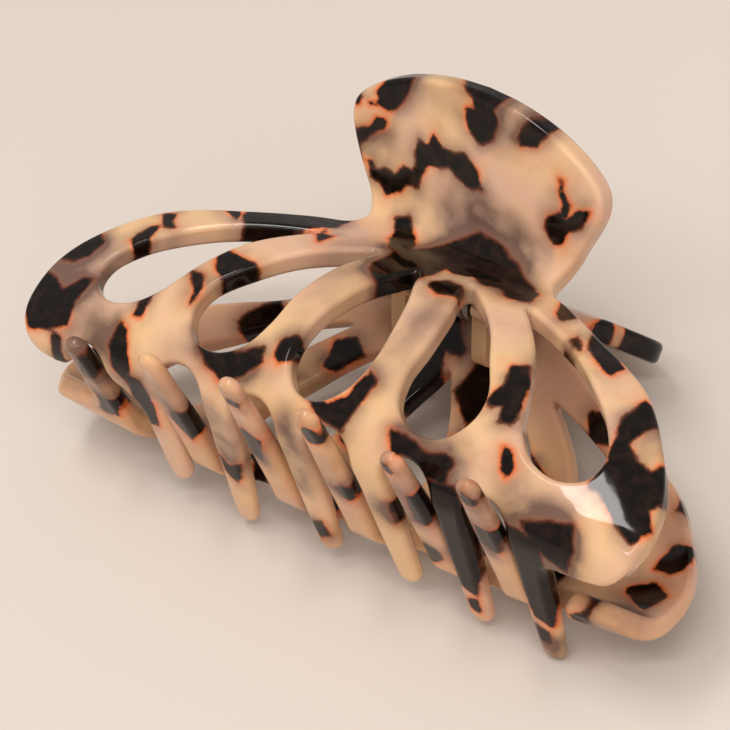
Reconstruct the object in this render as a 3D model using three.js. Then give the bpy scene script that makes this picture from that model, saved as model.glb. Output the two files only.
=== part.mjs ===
// A large claw hair clip, closed and lying down: two jaws of one outline bent from acetate sheet,
// hinged on a steel pin through acetate lugs and held shut by a steel torsion spring.
//
// Clip frame (before it is laid down): x runs along the clip, z from the teeth up to the thumb
// plates, and the front jaw is on the -y side. z = -1 is the narrowest place, the waist.
// A jaw is drawn flat in (u, s): u is x, s is the way down the bent sheet from the waist,
// negative on the thumb plate. The rear jaw is drawn the same way, with its own teeth, and turned
// half a turn about z.
import * as THREE from "three";
import { mergeVertices } from "three/addons/utils/BufferGeometryUtils.js";

// ---- driving dimensions, mm and degrees ----
const SHEET = 3.4; // acetate thickness
const EDGE_ROUND = 0.9; // chamfer that stands for the polished edge
const GLUE_GAP = 0.3; // between a lug and the jaw it is bonded to

const WAIST_OUT = 7.8; // outer face of a jaw from the middle of the clip, at the waist
const WAIST_Z = -1;
const THUMB_BEND_RADIUS = 4; // hollow bend above the waist, on the outer face
const WAIST_RADIUS = 7; // and below it
const THUMB_LEAN = 61; // thumb plate from the vertical
const SHOULDER_LEAN = 35; // how steeply the body leaves the waist
const BELLY_RADIUS = 36; // the round of the body
const BELLY_END_LEAN = -18; // where the round gives way to the tight bend of the teeth
const CLAW_RADIUS = 7; // outer face of that bend
const TOOTH_LEAN = -85; // the teeth run almost straight across
const WING_BOW = 4.5; // how far the wing ends close in on the other jaw
const HALF_LENGTH = 55;

// The front thumb plate's top edge is a little out of square.
const THUMB_SLANT = { front: 0.05, rear: 0 };

const TOOTH_ROOT_WIDTH = 5.4;
const TOOTH_TIP_WIDTH = 3.8;
const TOOTH_ROOT_S = 44.3; // the slots between teeth have straight sides below this line
const TOOTH_THIN_S = 46; // below this line the teeth grow thinner
const TOOTH_THINNED_S = 70.5; // down to this one
const TOOTH_THINNING = 0.3; // part of the thickness lost there
// The teeth are set by hand, so that those of one jaw pass between those of the other. Each one
// from the left: u at its root, u at its tip and s at its tip.
const TEETH = {
  front: [
    [-29.2, -28.8, 66.5], [-15, -17, 70.4], [-1.5, -0.9, 68.5],
    [11.9, 13.6, 68], [25.7, 25.8, 69.8], [38.2, 37.8, 70.4],
  ],
  rear: [
    [-32.8, -33.4, 73], [-20.5, -20.3, 72.6], [-5.3, -6.7, 75.5],
    [8.2, 6.9, 75.5], [24, 23.2, 72], [40, 40, 65.2],
  ],
};
// The slot left of the first tooth, which lets the other jaw's last tooth pass: its sides in u,
// s of the middle of its round end, and the web that joins it to the tooth.
const FIRST_SLOT = {
  front: { left: -44.3, right: -36.9, s: 45.4, web: [[-36, 47.4], [-34.2, 48.8], [-32.3, 51]] },
  rear: { left: -41.2, right: -35.5, s: 42.8, web: [] },
};

const PIN_Z = -4;
const PIN_RADIUS = 1;
const PIN_HEAD_RADIUS = 1.7;
const PIN_HEAD_LENGTH = 0.8;
const PIN_CLEARANCE = 0.3;
const LUG_WIDTH = 2.6;
const LUG_RADIUS = 3.2;
const OUTER_LUG_X = 9;
const INNER_LUG_X = 5.7;
const WIRE_RADIUS = 0.6;
const COIL_RADIUS = 2.6; // to the middle of the wire
const COIL_TURNS = 5;
const COIL_PITCH = 1.4;

// Half of the flat outline of a jaw, from the top of the thumb plate down to the wing's lower
// corner, as (u, s). The other half is its mirror image.
const THUMB_SIDE = [
  [0, -24], [5.3, -23.6], [10.6, -22.5], [15.4, -20.7], [19.4, -18.3], [21.9, -15.7],
  [22.4, -13.1], [21.8, -10.4], [20.5, -7.2], [19, -4.2], [17.7, -2],
];
const WING_SIDE = [
  [16.9, 0], [18.6, 2.1], [22.2, 3.7], [26.5, 6.4], [32, 9.6], [38.5, 12.8], [43, 15.6],
  [46.4, 18.8], [49.6, 22.6], [52.4, 26.5], [54.3, 30.6], [HALF_LENGTH, 35], [54.6, 39.3],
  [53.1, 43], [50.7, 45.8], [47.6, 47.2],
];
// The right-hand cutouts and the middle one, clockwise from the pointed end.
const OUTER_CUTOUT = [
  [18.4, 8.7], [22.6, 10.3], [30.4, 14.3], [36.5, 18.9], [41.4, 23.4], [44.4, 28.2],
  [43.9, 32], [40.2, 34.1], [35.6, 33.2], [32.1, 29.9], [29.4, 24], [25.6, 16.8], [20.6, 11],
];
const INNER_CUTOUT = [
  [8.4, 8.5], [11.8, 10.7], [17, 15.7], [21, 21.4], [24.6, 27.2], [24.8, 31.6],
  [22, 35.5], [17.6, 36.1], [13.8, 33.7], [12.1, 29], [11.8, 23], [10.4, 15.8], [8.7, 11],
];
const MIDDLE_CUTOUT = [
  [0, 10], [1.7, 13.2], [3.6, 17.2], [5.2, 22.4], [6.1, 28.2], [5.2, 33.6], [2.6, 36.8],
  [0, 37.6], [-2.6, 36.8], [-5.2, 33.6], [-6.1, 28.2], [-5.2, 22.4], [-3.6, 17.2], [-1.7, 13.2],
];

const rad = THREE.MathUtils.degToRad;

// ---- the bent section of a jaw ----
// Pieces of the outer face going down from the waist: {length, curvature of the heading}.
// The heading is 0 straight down and positive away from the middle of the clip.
function arc(fromLean, toLean, radius) {
  const turn = rad(toLean - fromLean);
  return { length: Math.abs(turn) * radius, bend: Math.sign(turn) / radius };
}

const DOWNWARD = [
  arc(0, SHOULDER_LEAN, WAIST_RADIUS),
  arc(SHOULDER_LEAN, BELLY_END_LEAN, BELLY_RADIUS),
  arc(BELLY_END_LEAN, TOOTH_LEAN, CLAW_RADIUS),
  { length: 100, bend: 0 },
];
const UPWARD = [arc(0, THUMB_LEAN, THUMB_BEND_RADIUS), { length: 100, bend: 0 }];

// The point of the outer face at s, and the direction out of it, as {out, z, outN, zN}.
function sectionAt(s) {
  const pieces = s < 0 ? UPWARD : DOWNWARD;
  const way = s < 0 ? 1 : -1;
  let left = Math.abs(s);
  let out = WAIST_OUT;
  let z = WAIST_Z;
  let lean = 0;
  for (const piece of pieces) {
    const step = Math.min(left, piece.length);
    if (piece.bend === 0) {
      out += Math.sin(lean) * step;
      z += way * Math.cos(lean) * step;
    } else {
      const next = lean + piece.bend * step;
      out += (Math.cos(lean) - Math.cos(next)) / piece.bend;
      z += (way * (Math.sin(next) - Math.sin(lean))) / piece.bend;
      lean = next;
    }
    left -= step;
    if (left <= 0) break;
  }
  return { out, z, outN: Math.cos(lean), zN: -way * Math.sin(lean) };
}

// The wings close in on the other jaw; the thumb plate stays flat.
function wingBow(u, s) {
  const fade = THREE.MathUtils.clamp(1 + s / 6, 0, 1);
  return WING_BOW * fade * Math.abs(u / HALF_LENGTH) ** 3;
}

// A point of the sheet, depth mm below its outer face, on the front jaw.
function onFrontJaw(u, s, depth) {
  const at = sectionAt(s);
  const along = THREE.MathUtils.clamp((s - TOOTH_THIN_S) / (TOOTH_THINNED_S - TOOTH_THIN_S), 0, 1);
  const inside = SHEET / 2 + (depth - SHEET / 2) * (1 - TOOTH_THINNING * along);
  const out = at.out - at.outN * inside - wingBow(u, s);
  return new THREE.Vector3(u, -out, at.z - at.zN * inside);
}

// ---- the flat outline ----
function smoothLine(points, samples, closed = false) {
  const knots = points.map(([u, s]) => new THREE.Vector3(u, s, 0));
  const curve = new THREE.CatmullRomCurve3(knots, closed, "centripetal");
  const line = curve.getSpacedPoints(samples).map((p) => [p.x, p.y]);
  if (closed) line.pop();
  return line;
}

function mirrored(points) {
  return points.map(([u, s]) => [-u, s]).reverse();
}

// Tilts the top edge of the thumb plate.
function slanted([u, s], slant) {
  return [u, s + slant * u * THREE.MathUtils.clamp(-s / 12, 0, 1)];
}

// One tooth, from its left root round the tip to its right root.
function toothLine([root, tip, tipS]) {
  const tipRadius = TOOTH_TIP_WIDTH / 2;
  const line = [[root - TOOTH_ROOT_WIDTH / 2, TOOTH_ROOT_S]];
  for (let i = 0; i <= 4; i++) {
    const angle = Math.PI - (i * Math.PI) / 4;
    line.push([tip + tipRadius * Math.cos(angle), tipS - tipRadius + tipRadius * Math.sin(angle)]);
  }
  line.push([root + TOOTH_ROOT_WIDTH / 2, TOOTH_ROOT_S]);
  return line;
}

// The round end of a slot, from left to right.
function slotLine(left, right, s) {
  const centre = (left + right) / 2;
  const radius = (right - left) / 2;
  const line = [];
  for (let i = 1; i < 6; i++) {
    const angle = Math.PI + (i * Math.PI) / 6;
    line.push([centre + radius * Math.cos(angle), s + radius * Math.sin(angle)]);
  }
  return line;
}

function jawOutline(side) {
  const upper = smoothLine([...THUMB_SIDE, ...WING_SIDE], 52);
  const right = upper.map((point) => slanted(point, THUMB_SLANT[side]));
  const left = mirrored(upper).map((point) => slanted(point, THUMB_SLANT[side]));
  left.pop(); // the top of the thumb plate is already there
  const teeth = TEETH[side];
  const flank = TOOTH_ROOT_WIDTH / 2;
  // From the right wing's lower corner to the last tooth, then tooth by tooth to the left.
  const corner = teeth[5][0] + flank;
  const lower = [[corner + 3.6, 47.9], [corner + 1.8, 48.2], [corner + 0.6, 49], [corner - 0.05, 50.6]];
  for (let k = 5; k >= 0; k--) {
    const tooth = toothLine(teeth[k]).reverse();
    if (k === 5) tooth.shift();
    if (k === 0 && FIRST_SLOT[side].web.length > 0) tooth.pop();
    lower.push(...tooth);
    if (k > 0)
      lower.push(...slotLine(teeth[k - 1][0] + flank, teeth[k][0] - flank, TOOTH_ROOT_S).reverse());
  }
  // The slot that lets the other jaw's last tooth pass, and the left wing's lower corner.
  const slot = FIRST_SLOT[side];
  lower.push(...[...slot.web].reverse());
  if (slot.s !== TOOTH_ROOT_S) lower.push([slot.right, slot.s]);
  lower.push(...slotLine(slot.left, slot.right, slot.s).reverse());
  lower.push([slot.left, slot.s], [slot.left - 0.2, 46], [slot.left - 1.2, 47.1]);
  return [...right, ...lower, ...left].reverse(); // counterclockwise, as ExtrudeGeometry expects
}

function cutouts() {
  const outer = smoothLine(OUTER_CUTOUT, 26, true);
  const inner = smoothLine(INNER_CUTOUT, 26, true);
  const middle = smoothLine(MIDDLE_CUTOUT, 26, true);
  return [outer, inner, middle, mirrored(inner), mirrored(outer)];
}

// ---- bending a flat extrusion ----
// Splits every triangle that crosses the plane where coordinate `axis` equals `value`, so that
// the surface can bend there. Cut edges are shared, so the mesh stays closed.
function slice(mesh, axis, value) {
  const near = 1e-6;
  const cuts = new Map();
  const side = (i) => {
    const d = mesh.points[i][axis] - value;
    return Math.abs(d) < near ? 0 : Math.sign(d);
  };
  const cut = (a, b) => {
    const key = a < b ? `${a} ${b}` : `${b} ${a}`;
    if (!cuts.has(key)) {
      const p = mesh.points[a];
      const q = mesh.points[b];
      const t = (value - p[axis]) / (q[axis] - p[axis]);
      mesh.points.push(p.map((x, i) => x + (q[i] - x) * t));
      cuts.set(key, mesh.points.length - 1);
    }
    return cuts.get(key);
  };
  const triangles = [];
  for (const triangle of mesh.triangles) {
    const sides = triangle.map(side);
    if (!sides.includes(1) || !sides.includes(-1)) {
      triangles.push(triangle);
      continue;
    }
    // Turn the triangle so that its first corner is alone on its side, or on the plane.
    let first = sides.indexOf(0);
    if (first < 0) first = sides.findIndex((x) => sides.filter((y) => y === x).length === 1);
    const [a, b, c] = [0, 1, 2].map((i) => triangle[(first + i) % 3]);
    if (sides[first] === 0) {
      const m = cut(b, c);
      triangles.push([a, b, m], [a, m, c]);
    } else {
      const m = cut(a, b);
      const n = cut(c, a);
      triangles.push([a, m, n], [m, b, c], [m, c, n]);
    }
  }
  mesh.triangles = triangles;
}

function range(from, to, step) {
  const values = [];
  for (let x = from; x <= to + 1e-9; x += step) values.push(x);
  return values;
}

function jawGeometry(side) {
  const toPoint = ([u, s]) => new THREE.Vector2(u, -s);
  const shape = new THREE.Shape(jawOutline(side).map(toPoint));
  shape.holes = cutouts().map((line) => new THREE.Path(line.map(toPoint)));
  const flat = new THREE.ExtrudeGeometry(shape, {
    depth: SHEET - 2 * EDGE_ROUND,
    curveSegments: 1,
    bevelEnabled: true,
    bevelThickness: EDGE_ROUND,
    bevelSize: EDGE_ROUND,
    bevelOffset: -EDGE_ROUND,
    bevelSegments: 1,
  });
  flat.deleteAttribute("normal");
  flat.deleteAttribute("uv");
  const welded = mergeVertices(flat, 1e-4);
  const position = welded.getAttribute("position");
  const mesh = { points: [], triangles: [] };
  for (let i = 0; i < position.count; i++)
    mesh.points.push([position.getX(i), position.getY(i), position.getZ(i)]);
  for (let i = 0; i < welded.index.count; i += 3)
    mesh.triangles.push([0, 1, 2].map((j) => welded.index.getX(i + j)));

  const bends = [
    ...range(-4.26, 4.3, 1.22), // the waist
    ...range(9, 33, 6), // the belly
    ...range(37.6, 46, 1.64), // the bend into the teeth
  ];
  for (const s of bends) slice(mesh, 1, -s);
  for (const u of [20, 30, 38, 46]) {
    slice(mesh, 0, u);
    slice(mesh, 0, -u);
  }

  const bent = mesh.points.map(([u, v, height]) =>
    onFrontJaw(u, -v, SHEET - EDGE_ROUND - height));
  const geometry = new THREE.BufferGeometry().setFromPoints(bent);
  geometry.setIndex(mesh.triangles.flat());
  geometry.computeVertexNormals();
  return geometry;
}

// ---- hinge parts ----
// A lug seen along x: a round eye about the pin, and a foot that follows the jaw's inner face.
function lugGeometry() {
  const foot = range(-1.4, 8.6, 1).map((s) => {
    const p = onFrontJaw(0, s, SHEET + GLUE_GAP);
    return new THREE.Vector2(p.y, p.z);
  });
  const line = [...foot];
  for (let degrees = -58; degrees <= 88; degrees += 10) {
    const angle = rad(degrees);
    const y = LUG_RADIUS * Math.cos(angle);
    line.push(new THREE.Vector2(y, PIN_Z + LUG_RADIUS * Math.sin(angle)));
  }
  const shape = new THREE.Shape(line);
  const bore = new THREE.Path();
  bore.absarc(0, PIN_Z, PIN_RADIUS + PIN_CLEARANCE, 0, 2 * Math.PI, true);
  shape.holes.push(bore);
  const lug = new THREE.ExtrudeGeometry(shape, {
    depth: LUG_WIDTH,
    curveSegments: 10,
    bevelEnabled: false,
  });
  // The shape was drawn in (y, z): stand it up so that its thickness runs along x.
  lug.rotateX(Math.PI / 2);
  lug.rotateZ(Math.PI / 2);
  lug.translate(-LUG_WIDTH / 2, 0, 0);
  return lug;
}

// The pin with a head formed at each end, turned about its own length.
function pinGeometry() {
  const shank = OUTER_LUG_X + LUG_WIDTH / 2 + PIN_CLEARANCE;
  const end = shank + PIN_HEAD_LENGTH;
  const profile = [
    [0, -end], [PIN_HEAD_RADIUS * 0.7, -end], [PIN_HEAD_RADIUS, -end + 0.35],
    [PIN_HEAD_RADIUS, -shank], [PIN_RADIUS, -shank], [PIN_RADIUS, shank],
    [PIN_HEAD_RADIUS, shank], [PIN_HEAD_RADIUS, end - 0.35], [PIN_HEAD_RADIUS * 0.7, end],
    [0, end],
  ].map(([r, x]) => new THREE.Vector2(r, x));
  return new THREE.LatheGeometry(profile, 24);
}

// The spring's wire: an arm along the rear thumb plate, the coil, and the same arm in front.
class SpringWire extends THREE.Curve {
  constructor() {
    super();
    const restOn = (s) => {
      const p = onFrontJaw(0, s, SHEET + GLUE_GAP + WIRE_RADIUS);
      return [-p.y, p.z];
    };
    const halfCoil = (COIL_TURNS * COIL_PITCH) / 2;
    this.startAngle = rad(138);
    // The arm from its free end to where it leaves the coil.
    this.arm = [restOn(-12), restOn(-8.5), [4.1, 5], [1.1, 1.5]].map(
      ([y, z]) => new THREE.Vector3(-halfCoil, y, z),
    );
    const knots = [...this.arm];
    const turns = COIL_TURNS - (2 * (this.startAngle - Math.PI / 2)) / (2 * Math.PI);
    const steps = Math.round(turns * 12);
    for (let i = 0; i <= steps; i++) {
      const angle = this.startAngle + (i / steps) * turns * 2 * Math.PI;
      knots.push(new THREE.Vector3(
        -halfCoil + (i / steps) * 2 * halfCoil,
        COIL_RADIUS * Math.cos(angle),
        PIN_Z + COIL_RADIUS * Math.sin(angle),
      ));
    }
    const turned = this.arm.map((p) => new THREE.Vector3(-p.x, -p.y, p.z)).reverse();
    this.path = new THREE.CatmullRomCurve3([...knots, ...turned], false, "centripetal");
  }

  getPoint(t, target = new THREE.Vector3()) {
    return this.path.getPoint(t, target);
  }
}

function springGeometry() {
  const section = new THREE.Shape();
  section.absarc(0, 0, WIRE_RADIUS, 0, 2 * Math.PI, false);
  return new THREE.ExtrudeGeometry(section, {
    steps: 110,
    curveSegments: 4,
    bevelEnabled: false,
    extrudePath: new SpringWire(),
  });
}

// ---- assembly ----
const ACETATE = { color: 0xd9ae80, roughness: 0.16, metalness: 0 };
const STEEL = { color: 0xb9bbbd, roughness: 0.3, metalness: 1 };

function piece(name, geometry, look) {
  const mesh = new THREE.Mesh(geometry, new THREE.MeshStandardMaterial(look));
  mesh.name = name;
  return mesh;
}

function jaw(side) {
  const group = new THREE.Group();
  group.name = `${side}_jaw_group`;
  group.add(piece(`${side}_jaw`, jawGeometry(side), ACETATE));
  const outer = piece(`${side}_lug_outer`, lugGeometry(), ACETATE);
  outer.position.x = OUTER_LUG_X;
  const inner = piece(`${side}_lug_inner`, lugGeometry(), ACETATE);
  inner.position.x = -INNER_LUG_X;
  group.add(outer, inner);
  return group;
}

const clip = new THREE.Group();
clip.name = "claw_clip";
const front = jaw("front");
const rear = jaw("rear");
rear.rotation.z = Math.PI;
const pin = piece("hinge_pin", pinGeometry(), STEEL);
pin.rotation.z = Math.PI / 2;
pin.position.z = PIN_Z;
const spring = piece("torsion_spring", springGeometry(), STEEL);
clip.add(front, rear, pin, spring);

// Laid down on its rear jaw, the clip rests on the edge of the rear thumb plate and on the tips
// of the front teeth: tilt it until both are level, then put them on z = 0.
function lowest(meshName, tilt) {
  clip.rotation.x = -Math.PI / 2 + tilt;
  clip.position.set(0, 0, 0);
  clip.updateMatrixWorld(true);
  return new THREE.Box3().setFromObject(clip.getObjectByName(meshName), true).min.z;
}

let tiltLow = 0;
let tiltHigh = rad(25);
for (let i = 0; i < 40; i++) {
  const tilt = (tiltLow + tiltHigh) / 2;
  if (lowest("rear_jaw", tilt) < lowest("front_jaw", tilt)) tiltLow = tilt;
  else tiltHigh = tilt;
}
lowest("rear_jaw", tiltLow);
const box = new THREE.Box3().setFromObject(clip, true);
const centre = box.getCenter(new THREE.Vector3());
clip.position.set(-centre.x, -centre.y, -box.min.z);

const part = new THREE.Group();
part.add(clip);

export default part;
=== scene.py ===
"""A large tortoiseshell acetate claw clip, closed, lying on its rear jaw on a pale floor."""
import math

import bpy
import numpy as np
from mathutils import Matrix, Vector
from mathutils.geometry import delaunay_2d_cdt


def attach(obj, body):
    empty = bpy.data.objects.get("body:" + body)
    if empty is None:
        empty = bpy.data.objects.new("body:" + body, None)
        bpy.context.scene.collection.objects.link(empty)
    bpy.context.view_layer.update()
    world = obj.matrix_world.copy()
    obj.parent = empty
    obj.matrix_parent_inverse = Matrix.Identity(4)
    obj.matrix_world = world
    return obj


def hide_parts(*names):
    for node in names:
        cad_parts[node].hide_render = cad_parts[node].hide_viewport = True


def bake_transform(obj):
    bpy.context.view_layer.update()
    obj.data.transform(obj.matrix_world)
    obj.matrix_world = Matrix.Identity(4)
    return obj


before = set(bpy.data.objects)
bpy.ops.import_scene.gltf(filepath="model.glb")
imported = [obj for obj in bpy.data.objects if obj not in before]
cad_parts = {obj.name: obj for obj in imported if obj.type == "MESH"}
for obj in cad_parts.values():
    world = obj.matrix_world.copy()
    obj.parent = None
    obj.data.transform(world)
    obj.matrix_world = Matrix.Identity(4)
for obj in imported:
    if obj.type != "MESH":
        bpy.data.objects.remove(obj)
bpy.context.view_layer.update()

MM = 0.001
rad = math.radians

# ---- the jaw's shape, mm and degrees: the CAD jaw's, with round edges and eased bends ----
SHEET = 3.4
GLUE_GAP = 0.3
WAIST_OUT = 7.8
WAIST_Z = -1.0
WAIST_RADIUS = 7.0
THUMB_BEND_RADIUS = 4.0
THUMB_LEAN = 61
SHOULDER_LEAN = 35
BELLY_RADIUS = 36.0
BELLY_END_LEAN = -18
CLAW_RADIUS = 7.0
TOOTH_LEAN = -85
WING_BOW = 4.5
BOW_FADE = 6.0  # the bow fades out over this length above the waist
HALF_LENGTH = 55.0
BEND_EASE = 2.4  # length over which one bend gives way to the next
SECTION_STEP = 0.05  # spacing of the table of the bent section

THUMB_SLANT = {"front": 0.05, "rear": 0.0}  # of the thumb plate's top edge

TOOTH_ROOT_WIDTH = 5.4
TOOTH_TIP_WIDTH = 3.8
TOOTH_ROOT_S = 44.3
TOOTH_THIN_S = 46.0
TOOTH_THINNED_S = 70.5
TOOTH_THINNING = 0.3
TOOTH_FULLNESS = 0.22  # how far a tooth's side stands out of a straight taper
TEETH = {  # u at the root, u at the tip, s at the tip
    "front": (
        (-29.2, -28.8, 66.5), (-15, -17, 70.4), (-1.5, -0.9, 68.5),
        (11.9, 13.6, 68), (25.7, 25.8, 69.8), (38.2, 37.8, 70.4),
    ),
    "rear": (
        (-32.8, -33.4, 73), (-20.5, -20.3, 72.6), (-5.3, -6.7, 75.5),
        (8.2, 6.9, 75.5), (24, 23.2, 72), (40, 40, 65.2),
    ),
}
FIRST_SLOT = {  # left and right sides in u, s of its round end, and the web to the first tooth
    "front": (-44.3, -36.9, 45.4, [(-32.3, 51), (-34.2, 48.8), (-36, 47.4)]),
    "rear": (-41.2, -35.5, 42.8, []),
}
# The wings' lower corners: u from the last tooth's side, or from the first slot's, and s.
RIGHT_CORNER = [(3.6, 47.9), (1.8, 48.2), (0.6, 49), (-0.05, 50.6)]
LEFT_CORNER = [(-0.2, 46), (-1.2, 47.1)]
LAST_SIDE_S = 51.2  # where the last tooth's own side takes over from the corner
WEB_END_S = 52.4  # where the first tooth's own side takes over from its web

BODY_EDGE = 0.9  # radius of the polished edges
TOOTH_EDGE = 1.5  # and of the teeth's, which are rounder
EDGE_CHANGE = (42, 8)  # s where the one begins to give way to the other, and over what length
POINT_SPACING = 0.65  # of the points inside the faces
LINE_SPACING = 0.5  # of the points along the outlines

THUMB_SIDE = [
    (0, -24), (5.3, -23.6), (10.6, -22.5), (15.4, -20.7), (19.4, -18.3), (21.9, -15.7),
    (22.4, -13.1), (21.8, -10.4), (20.5, -7.2), (19, -4.2), (17.7, -2),
]
WING_SIDE = [
    (16.9, 0), (18.6, 2.1), (22.2, 3.7), (26.5, 6.4), (32, 9.6), (38.5, 12.8), (43, 15.6),
    (46.4, 18.8), (49.6, 22.6), (52.4, 26.5), (54.3, 30.6), (HALF_LENGTH, 35), (54.6, 39.3),
    (53.1, 43), (50.7, 45.8), (47.6, 47.2),
]
OUTER_CUTOUT = [
    (18.4, 8.7), (22.6, 10.3), (30.4, 14.3), (36.5, 18.9), (41.4, 23.4), (44.4, 28.2),
    (43.9, 32), (40.2, 34.1), (35.6, 33.2), (32.1, 29.9), (29.4, 24), (25.6, 16.8), (20.6, 11),
]
INNER_CUTOUT = [
    (8.4, 8.5), (11.8, 10.7), (17, 15.7), (21, 21.4), (24.6, 27.2), (24.8, 31.6),
    (22, 35.5), (17.6, 36.1), (13.8, 33.7), (12.1, 29), (11.8, 23), (10.4, 15.8), (8.7, 11),
]
MIDDLE_CUTOUT = [
    (0, 10), (1.7, 13.2), (3.6, 17.2), (5.2, 22.4), (6.1, 28.2), (5.2, 33.6), (2.6, 36.8),
    (0, 37.6), (-2.6, 36.8), (-5.2, 33.6), (-6.1, 28.2), (-5.2, 22.4), (-3.6, 17.2), (-1.7, 13.2),
]

# ---- hinge ----
PIN_Z = -4.0
PIN_RADIUS = 1.0
PIN_HEAD_RADIUS = 1.7
PIN_HEAD_LENGTH = 0.8
PIN_CLEARANCE = 0.3
LUG_WIDTH = 2.6
LUG_RADIUS = 3.2
LUG_FOOT = (-1.4, 8.6)  # s of its two ends on the jaw's inner face
OUTER_LUG_X = 9.0
INNER_LUG_X = 5.7
WIRE_RADIUS = 0.6
COIL_RADIUS = 2.6
COIL_TURNS = 5
COIL_PITCH = 1.4
COIL_START = 138  # degrees round the pin, where the rear arm leaves the coil
ARM_REST = (-12, -8.5)  # s of the arm's points on the thumb plate
ARM_BEND = [(4.1, 5), (1.1, 1.5)]  # y and z of its points between the plate and the coil

# ---- camera, in the row frame, metres ----
CAMERA_RIGHT = (0.7833, 0.59636, -0.17534)
CAMERA_BACK = (0.5392, -0.51155, 0.66908)
CAMERA_TARGET = (-0.005741, -0.006324, 0.021409)
CAMERA_DISTANCE = 0.4875
CAMERA_LENS = 166.5

# The clip lies down: its own frame, z from teeth to thumb plates, is turned about x and moved.
LIE_TILT = rad(-81.435026)
LIE_OFFSET = (0.0, 14.054877, 24.47826)
LIE = Matrix.Translation(LIE_OFFSET) @ Matrix.Rotation(LIE_TILT, 4, "X")
HALF_TURN = Matrix.Rotation(math.pi, 4, "Z")


def to_frame(points, turned=False):
    """Clip-frame points in mm to row-frame points in metres."""
    matrix = np.array(LIE @ HALF_TURN if turned else LIE, float)
    return (np.asarray(points, float) @ matrix[:3, :3].T + matrix[:3, 3]) * MM


def turn_directions(directions, turned=False):
    matrix = np.array(LIE @ HALF_TURN if turned else LIE, float)
    return np.asarray(directions, float) @ matrix[:3, :3].T


# ---- the bent section ----
def section_table():
    """s, out, z and heading of the outer face, with the changes of bend eased."""
    s = np.arange(-32.0, 80.0, SECTION_STEP)
    thumb = rad(THUMB_LEAN) * THUMB_BEND_RADIUS
    shoulder = rad(SHOULDER_LEAN) * WAIST_RADIUS
    belly = shoulder + rad(SHOULDER_LEAN - BELLY_END_LEAN) * BELLY_RADIUS
    claw = belly + rad(BELLY_END_LEAN - TOOTH_LEAN) * CLAW_RADIUS
    curvature = np.zeros_like(s)
    curvature[(s >= -thumb) & (s < 0)] = 1 / THUMB_BEND_RADIUS
    curvature[(s >= 0) & (s < shoulder)] = 1 / WAIST_RADIUS
    curvature[(s >= shoulder) & (s < belly)] = -1 / BELLY_RADIUS
    curvature[(s >= belly) & (s < claw)] = -1 / CLAW_RADIUS
    window = np.hanning(int(BEND_EASE / SECTION_STEP))
    curvature = np.convolve(curvature, window / window.sum(), mode="same")
    heading = np.cumsum(curvature) * SECTION_STEP
    heading -= np.interp(0, s, heading)
    out = np.cumsum(np.sin(heading)) * SECTION_STEP
    z = -np.cumsum(np.cos(heading)) * SECTION_STEP
    out += WAIST_OUT - np.interp(0, s, out)
    z += WAIST_Z - np.interp(0, s, z)
    return s, out, z, heading


SECTION = section_table()


def on_front_jaw(flat):
    """(u, s, depth below the outer face) to clip-frame points of the front jaw."""
    u, s, depth = flat[:, 0], flat[:, 1], flat[:, 2]
    out = np.interp(s, SECTION[0], SECTION[1])
    z = np.interp(s, SECTION[0], SECTION[2])
    heading = np.interp(s, SECTION[0], SECTION[3])
    along = np.clip((s - TOOTH_THIN_S) / (TOOTH_THINNED_S - TOOTH_THIN_S), 0, 1)
    below = SHEET / 2 + (depth - SHEET / 2) * (1 - TOOTH_THINNING * along)
    fade = np.clip(1 + s / BOW_FADE, 0, 1)
    fade = fade * fade * (3 - 2 * fade)
    bow = WING_BOW * fade * np.abs(u / HALF_LENGTH) ** 3
    out = out - np.cos(heading) * below - bow
    return np.stack([u, -out, z - np.sin(heading) * below], 1)


# ---- flat outlines ----
def smooth_line(points, closed=False, spacing=LINE_SPACING):
    """A centripetal Catmull-Rom line through the points, with even spacing."""
    knots = np.array(points, float)
    if closed:
        knots = np.vstack([knots[-1], knots, knots[0], knots[1]])
    else:
        knots = np.vstack([2 * knots[0] - knots[1], knots, 2 * knots[-1] - knots[-2]])
    dense = []
    for p0, p1, p2, p3 in zip(knots, knots[1:], knots[2:], knots[3:]):
        t0 = 0.0
        t1 = t0 + np.linalg.norm(p1 - p0) ** 0.5
        t2 = t1 + np.linalg.norm(p2 - p1) ** 0.5
        t3 = t2 + np.linalg.norm(p3 - p2) ** 0.5
        for t in np.linspace(t1, t2, 24, endpoint=False):
            a1 = p0 * (t1 - t) / (t1 - t0) + p1 * (t - t0) / (t1 - t0)
            a2 = p1 * (t2 - t) / (t2 - t1) + p2 * (t - t1) / (t2 - t1)
            a3 = p2 * (t3 - t) / (t3 - t2) + p3 * (t - t2) / (t3 - t2)
            b1 = a1 * (t2 - t) / (t2 - t0) + a2 * (t - t0) / (t2 - t0)
            b2 = a2 * (t3 - t) / (t3 - t1) + a3 * (t - t1) / (t3 - t1)
            dense.append(b1 * (t2 - t) / (t2 - t1) + b2 * (t - t1) / (t2 - t1))
    dense.append(knots[-2])
    dense = np.array(dense)
    length = np.r_[0, np.cumsum(np.linalg.norm(np.diff(dense, axis=0), axis=1))]
    count = max(8, round(length[-1] / spacing))
    at = np.linspace(0, length[-1], count + 1)
    line = np.stack([np.interp(at, length, dense[:, i]) for i in (0, 1)], 1)
    return line[:-1] if closed else line


def mirrored(line):
    return (np.asarray(line) * (-1, 1))[::-1]


def slanted(line, slant):
    """The line with the thumb plate's top edge tilted."""
    line = np.array(line)
    line[:, 1] += slant * line[:, 0] * np.clip(-line[:, 1] / 12, 0, 1)
    return line


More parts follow.
